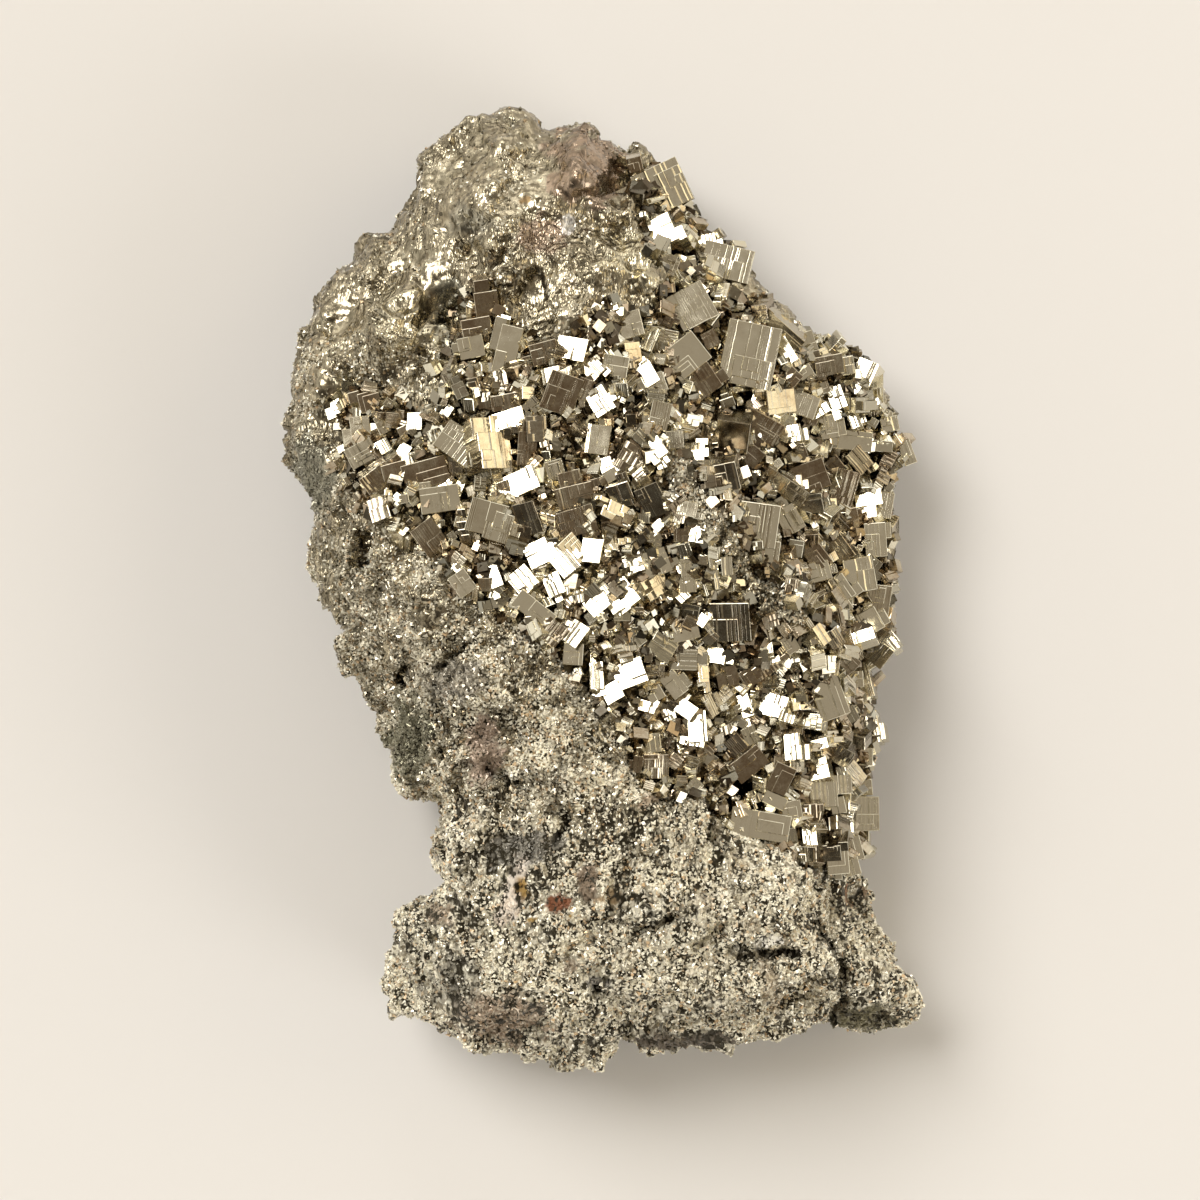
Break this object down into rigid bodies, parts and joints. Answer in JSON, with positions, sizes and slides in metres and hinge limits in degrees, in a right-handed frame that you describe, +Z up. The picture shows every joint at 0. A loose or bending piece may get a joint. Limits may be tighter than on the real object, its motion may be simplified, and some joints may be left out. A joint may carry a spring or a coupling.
{
  "type": "pyrite specimen",
  "caption": "Natural pyrite mineral specimen: striated cube crystals grown out of a lump of granular brassy pyrite with cracks and pits, lying on its flat back.",
  "frame": {"origin": "middle of the footprint, on the surface the specimen lies on", "axes": "+Z up out of the crystal side, +Y from the massive foot to the head along the longest extent, +X to the right seen from above"},
  "size_m": [0.0951, 0.1425, 0.0448],
  "materials": {
    "pyrite": "metallic, bright crystal faces and glittering granular ground"
  },
  "bodies": {
    "root": {"pyrite_specimen": "pyrite"}
  },
  "joints": []
}
